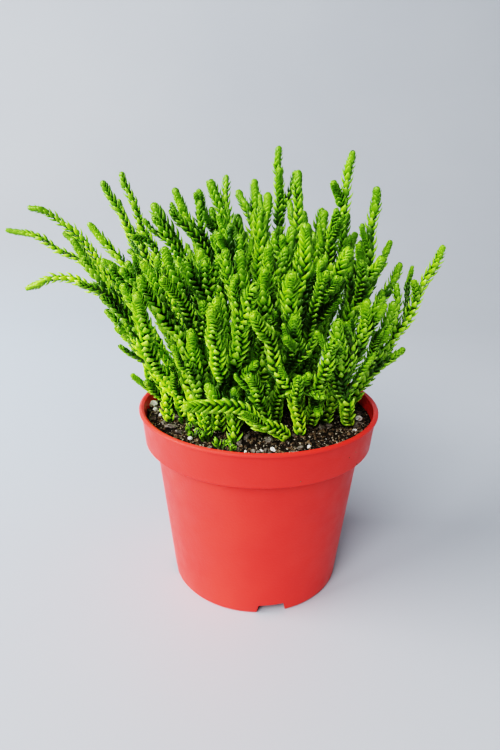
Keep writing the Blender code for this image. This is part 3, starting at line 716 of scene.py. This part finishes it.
# Short young twigs fill the bush between those shoots. Each one leaves its shoot at a seeded place, leans out and up,
# and takes the direction that has the most room of those tried.
TWIGS_SEED = 7
TWIG_SPACING = 0.055
TWIG_STARTS = (0.20, 0.70)
TWIG_LENGTHS = (0.016, 0.034)
TWIG_LEANS = (math.radians(12), math.radians(26))
TWIG_SHARE = 0.8
TWIG_EXTRA = 0.004
TWIG_BOW = -0.0012
TWIG_GIRTH = 0.86
LOOK_AHEAD = 0.002
TWIG_TRIES = 8
TWIG_ROOM = 0.0036
TWIG_RISE = 0.55
TWIGS_WITHIN = 0.072


def point_at(distance, lengths, points):
    """The point at a distance along a line."""
    return Vector([float(np.interp(distance, lengths, points[:, axis])) for axis in range(3)])


line_owners = [shoot for shoot in shoots for _ in shoot["points"]]
line_tree = kdtree.KDTree(len(line_owners))
for index, point in enumerate(np.vstack([shoot["points"] for shoot in shoots])):
    line_tree.insert(point, index)
line_tree.balance()
draw = random.Random(TWIGS_SEED)
twigs = []
for shoot in shoots:
    lengths = arc_lengths(shoot["points"])
    for _ in range(round(lengths[-1] / TWIG_SPACING)):
        start_at = lengths[-1] * draw.uniform(*TWIG_STARTS)
        start = point_at(start_at, lengths, shoot["points"])
        along = (point_at(start_at + LOOK_AHEAD, lengths, shoot["points"]) - start).normalized()
        length = min(draw.uniform(*TWIG_LENGTHS), TWIG_SHARE * (lengths[-1] - start_at) + TWIG_EXTRA)
        best_room = TWIG_ROOM
        best_tip = None
        for _ in range(TWIG_TRIES):
            sidelong = along.cross(Matrix.Rotation(draw.uniform(0, math.tau), 3, along) @ along.orthogonal())
            tip = start + Matrix.Rotation(draw.uniform(*TWIG_LEANS), 3, sidelong.normalized()) @ along * length
            room = line_tree.find(tip)[2]
            rises = tip.z - start.z > TWIG_RISE * length
            if room > best_room and rises and math.hypot(tip.x, tip.y) < TWIGS_WITHIN:
                best_room = room
                best_tip = tip
        if best_tip is not None:
            line = bowed_line(start, best_tip, TWIG_BOW)
            twigs.append(shoot_along(draw, shoot["node"], line, TWIG_GIRTH * shoot["girth"], shoot))
shoots += twigs

# The leaves are fleshy pointed scales, in pairs that each stand a quarter turn from the last, so they lie in four
# ranks. Old ones gape and hook outwards like claws; towards a shoot's tip they close over it in a blunt club.
OPEN_LEAF = (
    # Along the leaf, outwards, half width, half thickness, lean and how far the sides wrap in at each ring.
    (-0.12, 0.60, 0.54, 0.24, 42, 0.12),
    (0.20, 0.94, 0.52, 0.21, 32, 0.08),
    (0.58, 1.12, 0.31, 0.12, 6, 0.02),
)
OPEN_LEAF_TIP = (0.98, 1.20)
CLOSED_LEAF = (
    (0.02, 0.62, 0.62, 0.25, 6, 0.22),
    (0.42, 0.85, 0.56, 0.14, 2, 0.20),
    (0.76, 0.96, 0.30, 0.07, -4, 0.08),
)
CLOSED_LEAF_TIP = (1.00, 1.08)
LEAF_SIDES = 6
LEAF_ROOT = (-0.46, 0.38)
LEVEL_WITHIN = 0.01
SIDES_FROM = 0.1
LEAVES_SEED = 3
BARE_FOOT = 0.0012
BARE_FORK = 0.0010
FIRST_BUD_LEFT = 0.0011
PITCHES = (0.00060, 0.00174)  # where the leaves are closed and where they gape, as for the lengths and widths
RANK_SWING = 0.5
LEAF_SWING = 0.10
LEAF_TILT = 0.10
LEAF_SIZE_SPREAD = 0.08
LEAF_OPENNESS_SPREAD = 0.08
LEAF_TONE_SPREAD = 0.25
SHOOT_TONE_SPREAD = 0.12
FULL_AGE_LEFT = 0.1
LEAF_LENGTHS = (0.0021, 0.0034)
LEAF_WIDTHS = (1.25, 1.08)
OPENS_FROM = (-0.002, 0.008)
OPENS_OVER = 0.011
REACH_BY_LEFT = ((0, 0), (0.0008, 0.0014), (0.0020, 0.0018), (0.0050, 0.0021), (0.012, 0.0023), (0.030, 0.0025))
TIP_ROUNDNESS = 2.2
STEM_PLUMPNESS = (0.92, 1.08)
SIDE_PLUMPNESS = (0.80, 1.06)
SHORT_LENGTH = 0.045
SHORT_GIRTH = 0.72
WAVE_LENGTHS = (0.016, 0.034)
WAVE_DEPTH = 0.0006
WAVE_GROWS_OVER = 0.02
LINE_STEP = 0.001
EASING_PASSES = 12
BEND_STEP = 0.001
CLOSED_TIP = 0.004
STEM_BURIED = 0.012
STEM_RADIUS = 0.0014
STEM_END_SHARE = 0.55
STEM_POINT_EVERY = 3
CROWD_AHEAD = 0.0045
CROWD_WITHIN = 0.0090
CROWD_FULL = 3.0
# Waxy bloom and painted glints: a whitish green on the middle of each leaf, partly the leaves' own pale bloom and
# partly painted highlights of the lamps on their glossy faces.
CLOSED_BLOOM_AND_GLINT = 0.06
YOUNG_BLOOM_AND_GLINT = 0.50
BLOOM_AND_GLINT_AGE = 0.4
BLOOM_AND_GLINT_HALF_WIDTH = 0.16
BLOOM_AND_GLINT_MIDDLE = 0.60
BLOOM_AND_GLINT_HALF_LENGTH = 0.34
ROOT_SHADE = (0.30, 0.94)
FRESH_GREENS = ((0.16, 0.34, 0.003, 1), (0.23, 0.43, 0.004, 1))
GROWN_GREENS = ((0.30, 0.57, 0.004, 1), (0.39, 0.65, 0.005, 1))
OLD_GREENS = ((0.41, 0.72, 0.006, 1), (0.50, 0.78, 0.008, 1))
GROWN_AGE = 0.28
OLD_AGE = 0.75
BLOOM_AND_GLINT_COLOUR = (0.72, 0.90, 0.60, 1)
BLOOM_AND_GLINT_BLOTCHES = 900
BLOOM_AND_GLINT_SHARES = (0.05, 0.90)
# Painted shade in the grooves: the inner part of a grown leaf, near its root, is darkened towards this green.
GROOVE_SHADE_GREEN = (0.130, 0.350, 0.002, 1)
# Painted shade deep in the bush: leaves that other shoots crowd in front of are darkened towards this green.
CROWD_SHADE_GREEN = (0.010, 0.055, 0.001, 1)
CROWD_SHADE = (0.52, 1, 0.88)  # how crowded a leaf is as it starts to darken and at its darkest, and how dark it gets
HIGH_TINT = (0.70, 0.78, 0.50, 1)
HIGH_HEIGHTS = (0.150, 0.200)
STEM_GREEN = (0.050, 0.085, 0.012, 1)
LEAF_SHEEN_BLOTCHES = 700
LEAF_ROUGHNESS = (0.28, 0.44)
LEAF_GRAIN = (2600, 0.00006)


def modelled_leaf(rings, tip):
    """A scale leaf at unit size, shaped from a sphere ring by ring, with a keel: X is its width, Y is outwards and Z
    along the stem. Returns its corners and faces."""
    bpy.ops.mesh.primitive_uv_sphere_add(segments=LEAF_SIDES, ring_count=len(rings) + 1, radius=1)
    leaf = bpy.context.object
    bpy.ops.object.mode_set(mode="EDIT")
    bpy.ops.transform.rotate(value=math.pi / LEAF_SIDES, orient_axis="Z")
    levels = [-math.cos(math.pi * (number + 1) / (len(rings) + 1)) for number in range(len(rings))]
    upwards = sorted(bmesh.from_edit_mesh(leaf.data).verts, key=lambda point: point.co.z)
    members = [[point.index for point in upwards if abs(point.co.z - level) < LEVEL_WITHIN] for level in levels]
    ends = [upwards[0].index, upwards[-1].index]
    bpy.ops.mesh.select_mode(type="VERT")
    for indices, level, (along, outward, width, thickness, lean, wrap) in zip(members, levels, rings):
        size = math.sqrt(1 - level * level)
        select_where(leaf, "verts", lambda point: point.index in indices)
        bpy.ops.transform.resize(value=(width / size, thickness / size, 1))
        bpy.ops.transform.rotate(value=math.radians(lean), orient_axis="X", center_override=(0, 0, level))
        bpy.ops.transform.translate(value=(0, outward, along - level))
        select_where(leaf, "verts", lambda point: point.index in indices and abs(point.co.x) > SIDES_FROM)
        bpy.ops.transform.translate(value=(0, -wrap, 0))
    select_where(leaf, "verts", lambda point: point.index == ends[0])
    bpy.ops.transform.translate(value=(0, LEAF_ROOT[1], LEAF_ROOT[0] + 1))
    select_where(leaf, "verts", lambda point: point.index == ends[1])
    bpy.ops.transform.translate(value=(0, tip[1], tip[0] - 1))
    bpy.ops.object.mode_set(mode="OBJECT")
    corners = np.array([tuple(vertex.co) for vertex in leaf.data.vertices])
    faces = [tuple(face.vertices) for face in leaf.data.polygons]
    bpy.data.objects.remove(leaf)
    return corners, faces


open_corners, leaf_faces = modelled_leaf(OPEN_LEAF, OPEN_LEAF_TIP)
closed_corners, _ = modelled_leaf(CLOSED_LEAF, CLOSED_LEAF_TIP)
# How much of the whitish bloom and painted glint each corner of a leaf takes, most on its middle.
bloom_and_glint_of_corner = []
root_shade_of_corner = []
for across, outward, along in open_corners:
    middle = math.exp(-(across / BLOOM_AND_GLINT_HALF_WIDTH) ** 2)
    bloom_and_glint_of_corner.append(middle * math.exp(-((along - BLOOM_AND_GLINT_MIDDLE) / BLOOM_AND_GLINT_HALF_LENGTH) ** 2))
    root_shade_of_corner.append(float(np.interp(outward, ROOT_SHADE, (1, 0))))


def grown_line(shoot, draw):
    """A shoot's line with its corners eased and a slight wave in it."""
    lengths = arc_lengths(shoot["points"])
    stations = np.linspace(0, lengths[-1], round(lengths[-1] / LINE_STEP) + 1)
    line = np.stack([np.interp(stations, lengths, shoot["points"][:, axis]) for axis in range(3)], 1)
    for _ in range(EASING_PASSES):
        padded = np.vstack([2 * line[:1] - line[1:2], line, 2 * line[-1:] - line[-2:-1]])
        line = (padded[:-2] + 2 * padded[1:-1] + padded[2:]) / 4
    for axis in range(3):
        wave = np.sin(stations / draw.uniform(*WAVE_LENGTHS) * math.tau + draw.uniform(0, math.tau))
        line[:, axis] += WAVE_DEPTH * wave * np.minimum(1, stations / WAVE_GROWS_OVER)
    return line


def openness_at(left, opens_from):
    """How open the leaves are from 0 to 1, where this much length is left to the tip."""
    return min(1, max(0, (left - opens_from) / OPENS_OVER))


def leafy_places(shoot, draw):
    """Where the leaves of a shoot stand. A row holds centre, outward, sideways and upward directions, width, reach,
    length, how open it is, how far its tip leans in, age, tone and how much other shoots crowd in on it."""
    points = shoot["line"]
    lengths = arc_lengths(points)
    length = lengths[-1]
    is_stem = shoot["parent"] is None
    tangent = UP if is_stem else Vector(points[1] - points[0]).normalized()
    across = Matrix.Rotation(RANK_SWING * (shoot["turn"] - math.pi / 4), 3, "Z") @ Vector((1, 0, 0))
    across = (across - across.dot(tangent) * tangent).normalized()
    shoot_tone = draw.gauss(0, SHOOT_TONE_SPREAD)
    opens_from = shoot.get("opens_from", draw.uniform(*OPENS_FROM))
    lefts = []
    left = FIRST_BUD_LEFT
    while left < length - (BARE_FOOT if is_stem else BARE_FORK):
        lefts.append(left)
        left += between(*PITCHES, openness_at(left, opens_from))
    girth = shoot["girth"] * draw.uniform(*(STEM_PLUMPNESS if is_stem else SIDE_PLUMPNESS))
    girth *= between(SHORT_GIRTH, 1, min(1, length / SHORT_LENGTH))
    rows = []
    for number, left in enumerate(reversed(lefts)):
        along = [length - left + step for step in (BEND_STEP, 0, -BEND_STEP)]
        ahead, centre, behind = (point_at(distance, lengths, points) for distance in along)
        turn = tangent.rotation_difference((ahead - behind).normalized())
        tangent = turn @ tangent
        across = turn @ across
        usual_reach = float(np.interp(left, *zip(*REACH_BY_LEFT)))
        openness = openness_at(left, opens_from)
        for hand in (0, 1):
            angle = math.pi / 2 * (number % 2 + 2 * hand) + draw.gauss(0, LEAF_SWING)
            outward = Matrix.Rotation(angle, 3, tangent) @ across
            upward = (tangent + outward * draw.gauss(0, LEAF_TILT)).normalized()
            sideways = outward.cross(upward).normalized()
            size = draw.gauss(1, LEAF_SIZE_SPREAD)
            reach = usual_reach * girth * size
            width = reach * between(*LEAF_WIDTHS, openness)
            rise = min(between(*LEAF_LENGTHS, openness) * girth * size, left)
            narrower = float(np.interp(left - rise, *zip(*REACH_BY_LEFT))) / usual_reach
            opened = min(1, left / CLOSED_TIP, max(0, openness + draw.gauss(0, LEAF_OPENNESS_SPREAD)))
            leaning = between(narrower, 1, opened)
            # How much other shoots crowd in front of the leaf, from which the leaf material paints shade.
            near = line_tree.find_range(centre + CROWD_AHEAD * outward, CROWD_WITHIN)
            crowd = sum(1 - distance / CROWD_WITHIN for _, index, distance in near if line_owners[index] is not shoot)
            rows.append((*centre, *outward, *sideways, *upward, width, reach, rise, opened, leaning,
                         min(1, left / FULL_AGE_LEFT), shoot_tone + draw.gauss(0, LEAF_TONE_SPREAD),
                         min(1, crowd / CROWD_FULL)))
    return rows


def leafy_piece(name, family, draw):
    """One piece of leaves on their stem and its side shoots. Returns it."""
    curve = bpy.data.curves.new(name, "CURVE")
    curve.dimensions = "3D"
    curve.bevel_depth = 1
    curve.bevel_resolution = 0
    curve.use_fill_caps = True
    for shoot in family:
        shoot["line"] = grown_line(shoot, draw)
        line = shoot["line"][:-1:STEM_POINT_EVERY]
        if shoot["parent"] is None:
            line = np.vstack([line[0] - (0, 0, STEM_BURIED), line])
        spline = curve.splines.new("POLY")
        spline.points.add(len(line) - 1)
        for spot, point, thinner in zip(spline.points, line, np.linspace(1, STEM_END_SHARE, len(line))):
            spot.co = (*point, 1)
            spot.radius = STEM_RADIUS * shoot["girth"] * thinner
        spline.use_smooth = True
    core = bpy.data.objects.new(f"core of {name}", curve)
    bpy.context.scene.collection.objects.link(core)
    places = np.array([row for shoot in family for row in leafy_places(shoot, draw)])
    centre, outward, sideways, upward = (places[:, None, first:first + 3] for first in (0, 3, 6, 9))
    width, reach, rise, opened, leaning, age, tone, crowd = (places[:, column, None] for column in range(12, 20))
    shape = between(closed_corners, open_corners, opened[:, :, None])
    shape[:, :, 1] *= 1 - (1 - leaning) * np.clip(shape[:, :, 2], 0, 1) ** TIP_ROUNDNESS
    spots = centre + sideways * (shape[:, :, 0] * width)[:, :, None]
    spots = spots + outward * (shape[:, :, 1] * reach)[:, :, None] + upward * (shape[:, :, 2] * rise)[:, :, None]
    leafy = repeated(f"leafy_{name}", spots, leaf_faces)
    mesh = leafy.data
    per_leaf = len(open_corners)
    # Bloom and painted glints, strongest on open, older leaves.
    leaf_bloom_and_glint = between(CLOSED_BLOOM_AND_GLINT, 1, opened) * between(YOUNG_BLOOM_AND_GLINT, 1, np.minimum(1, age / BLOOM_AND_GLINT_AGE))
    # The root attribute is how much painted shade a corner takes near the leaf's root.
    for label, values in (("age", np.repeat(age, per_leaf)), ("tone", np.repeat(tone, per_leaf)),
                          ("crowd", np.repeat(crowd, per_leaf)), ("bloom", (leaf_bloom_and_glint * bloom_and_glint_of_corner).ravel()),
                          ("root", np.tile(root_shade_of_corner, len(places))), ("leaf", np.ones(len(mesh.vertices)))):
        mesh.attributes.new(label, "FLOAT", "POINT").data.foreach_set("value", values.astype(np.float32))
    mesh.polygons.foreach_set("use_smooth", [True] * len(mesh.polygons))
    bpy.ops.object.select_all(action="DESELECT")
    core.select_set(True)
    bpy.context.view_layer.objects.active = core
    bpy.ops.object.convert(target="MESH")
    join([leafy, core])
    return leafy


draw = random.Random(LEAVES_SEED)
stem_pieces = []
for stem in shoots:
    if stem["parent"] is None:
        family = [shoot for shoot in shoots if shoot["node"] == stem["node"]]
        leafy = leafy_piece(stem["node"], family, draw)
        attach(leafy, "root")
        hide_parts(stem["node"])
        stem_pieces.append(leafy)


def add_fade(value, start, end, most=1):
    """A smooth rise from 0 to most while a value goes from start to end."""
    fade = value.id_data.nodes.new("ShaderNodeMapRange")
    fade.interpolation_type = "SMOOTHSTEP"
    set_inputs(fade, {"Value": value, "From Min": start, "From Max": end, "To Max": most})
    return fade.outputs["Result"]


def add_product(first, second):
    """One value times another."""
    product = first.id_data.nodes.new("ShaderNodeMath")
    product.operation = "MULTIPLY"
    set_inputs(product, {0: first, 1: second})
    return product.outputs["Value"]


shader, place = begin_material("scale leaves", stem_pieces[0])
values = {}
for name in ("age", "tone", "crowd", "bloom", "root", "leaf"):
    attribute = place.id_data.nodes.new("ShaderNodeAttribute")
    attribute.attribute_name = name
    values[name] = attribute.outputs["Fac"]
heights = place.id_data.nodes.new("ShaderNodeSeparateXYZ")
set_inputs(heights, {"Vector": place})
fresh, grown, old = (mix_colours(values["tone"], *greens) for greens in (FRESH_GREENS, GROWN_GREENS, OLD_GREENS))
growth = add_fade(values["age"], 0, GROWN_AGE)
bloom_and_glint_patches = add_blotches(place, BLOOM_AND_GLINT_BLOTCHES, *BLOOM_AND_GLINT_SHARES)
green = mix_colours(growth, fresh, grown)
green = mix_colours(add_fade(values["age"], GROWN_AGE, OLD_AGE), green, old)
# Waxy bloom and painted glints in patches on the middle of the leaves.
green = mix_colours(add_product(values["bloom"], bloom_and_glint_patches), green, BLOOM_AND_GLINT_COLOUR)
# Painted shade in the grooves at the leaves' roots, on all but the freshest leaves.
green = mix_colours(add_product(values["root"], growth), green, GROOVE_SHADE_GREEN)
# Painted shade where other shoots crowd in front of a leaf.
green = mix_colours(add_fade(values["crowd"], *CROWD_SHADE), green, CROWD_SHADE_GREEN)
green = mix_colours(add_fade(heights.outputs["Z"], *HIGH_HEIGHTS), green, HIGH_TINT, "MULTIPLY")
set_inputs(shader, {
    "Base Color": mix_colours(values["leaf"], STEM_GREEN, green),
    "Roughness": add_blotches(place, LEAF_SHEEN_BLOTCHES, *LEAF_ROUGHNESS),
    "Subsurface Weight": 0.10,
    "Subsurface Radius": (0.8, 1.0, 0.3),
    "Subsurface Scale": 0.0008,
    "Normal": add_grain(place, *LEAF_GRAIN),
})
leaf_material = stem_pieces[0].data.materials[0]
for leafy in stem_pieces[1:]:
    give_material(leafy, leaf_material)

# A few young sprigs sprout from the mix at the front left, each two little shoots with leaves that already gape.
# Their places are (x, y) and how tall they are, in millimetres.
SPRIGS = ((-33, -26, 5), (-30, -21, 5), (-25, -35, 6), (-30, -31, 4), (-17, -42, 5), (-12, -45, 4), (-36, -17, 4))
SPRIG_GIRTH = 0.95
SPRIG_SPREAD = 0.0030
SPRIG_FOOT_SHARE = 0.3
SPRIG_HEIGHTS = (0.7, 1)
SPRIG_GIRTHS = (0.85, 1.15)
SPRIG_BOW = 0.0004
SPRIG_OPENS_FROM = -0.006
SPRIGS_SEED = 4
draw = random.Random(SPRIGS_SEED)
sprig_shoots = []
for x, y, height in SPRIGS:
    foot = on_mix(x / 1000, y / 1000)
    across = Matrix.Rotation(draw.uniform(0, math.tau), 3, "Z") @ Vector((SPRIG_SPREAD, 0, 0))
    for hand in (-1, 1):
        tip = foot + hand * across + Vector((0, 0, height / 1000 * draw.uniform(*SPRIG_HEIGHTS)))
        line = bowed_line(foot + hand * across * SPRIG_FOOT_SHARE, tip, SPRIG_BOW)
        sprig = shoot_along(draw, "young_sprigs", line, SPRIG_GIRTH * draw.uniform(*SPRIG_GIRTHS))
        sprig["opens_from"] = SPRIG_OPENS_FROM
        sprig_shoots.append(sprig)
sprigs = leafy_piece("young_sprigs", sprig_shoots, draw)
give_material(sprigs, leaf_material)
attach(sprigs, "root")

# The plant stands on a seamless sheet of pale paper that runs back and curves up far behind it. The sheet isn't quite
# even in tone, and a pool of light is painted on it at the left, a little brighter and bluer.
SHEET_WIDTH = 7
SHEET_DEPTH = 3.6
SWEEP_START = 0.55
SWEEP_RADIUS = 1.3
SWEEP_STEPS = 24
SWEEP_RISE = 2.2
PAPER_GREYS = ((0.37, 0.395, 0.435, 1), (0.40, 0.425, 0.46, 1))
PAPER_BLOTCHES = 1.6
PAPER_SHEEN_BLOTCHES = 6
PAPER_ROUGHNESS = (0.42, 0.50)
PAINTED_LIGHT_PAPER = (0.45, 0.515, 0.60, 1)
PAINTED_LIGHT_MIDDLE = (-0.45, 0.35, 0.02)
PAINTED_LIGHT_REACHES = (0.75, 0.05)
bpy.ops.mesh.primitive_plane_add(size=1)
sheet = bpy.context.object
sheet.name = "paper_sweep"
bpy.ops.object.mode_set(mode="EDIT")
bpy.ops.transform.resize(value=(SHEET_WIDTH, SHEET_DEPTH, 1))
bpy.ops.transform.translate(value=(0, SWEEP_START - SHEET_DEPTH / 2, 0))
bpy.ops.mesh.select_mode(type="EDGE")
select_where(sheet, "edges", lambda edge: all(point.co.y > 0 for point in edge.verts))
bpy.ops.mesh.spin(steps=SWEEP_STEPS, angle=math.radians(-90), center=(0, SWEEP_START, SWEEP_RADIUS), axis=(1, 0, 0))
bpy.ops.mesh.extrude_edges_move(TRANSFORM_OT_translate={"value": (0, 0, SWEEP_RISE)})
bpy.ops.object.mode_set(mode="OBJECT")
bpy.ops.object.shade_smooth()
shader, place = begin_material("pale paper", sheet)
# The painted pool of light: brighter, bluer paper near a point at the left.
from_painted_light = place.id_data.nodes.new("ShaderNodeVectorMath")
from_painted_light.operation = "DISTANCE"
set_inputs(from_painted_light, {0: place, 1: PAINTED_LIGHT_MIDDLE})
painted_light = add_fade(from_painted_light.outputs["Value"], *PAINTED_LIGHT_REACHES)
paper = mix_colours(add_blotches(place, PAPER_BLOTCHES, 0, 1), *PAPER_GREYS)
set_inputs(shader, {
    "Base Color": mix_colours(painted_light, paper, PAINTED_LIGHT_PAPER),
    "Roughness": add_blotches(place, PAPER_SHEEN_BLOTCHES, *PAPER_ROUGHNESS),
})

# One large soft lamp stands high at the front left, a fainter one low at the left, and the room fills the shadows.
LAMPS = (
    # Name, place, how wide it is and its power in watts.
    ("high lamp", (-0.95, -2.22, 1.95), 1.4, 98),
    ("side lamp", (-2.0, -0.5, 1.1), 1.8, 88),
)
LAMP_AIM = Vector((0, 0, 0.10))
ROOM_COLOUR = (0.93, 0.97, 1.0, 1)
ROOM_STRENGTH = 0.25
world = bpy.data.worlds.new("soft room")
bpy.context.scene.world = world
world.use_nodes = True
set_inputs(world.node_tree.nodes["Background"], {"Color": ROOM_COLOUR, "Strength": ROOM_STRENGTH})
for name, location, size, power in LAMPS:
    bpy.ops.object.light_add(type="AREA", location=location)
    lamp = bpy.context.object
    lamp.name = name
    lamp.data.size = size
    lamp.data.energy = power
    lamp.rotation_euler = (LAMP_AIM - Vector(location)).to_track_quat("-Z", "Y").to_euler()

# The camera looks a little down on the plant from close in front, as the photograph was taken.
CAMERA_PLACE = (-0.0046, -0.26758, 0.20094)
CAMERA_PITCH = math.radians(71)
CAMERA_ROLL = math.radians(0.96)
LENS_MM = 27.02
SENSOR_MM = 36
NEAREST_SEEN = 0.01
bpy.ops.object.camera_add(location=CAMERA_PLACE)
camera = bpy.context.object
camera.data.lens = LENS_MM
camera.data.sensor_width = SENSOR_MM
camera.data.clip_start = NEAREST_SEEN
aim = Matrix.Rotation(CAMERA_PITCH, 3, "X") @ Matrix.Rotation(CAMERA_ROLL, 3, "Z")
camera.rotation_euler = aim.to_euler()
bpy.context.scene.camera = camera
bpy.context.scene.view_settings.view_transform = "Filmic"
bpy.context.scene.view_settings.look = "Very High Contrast"
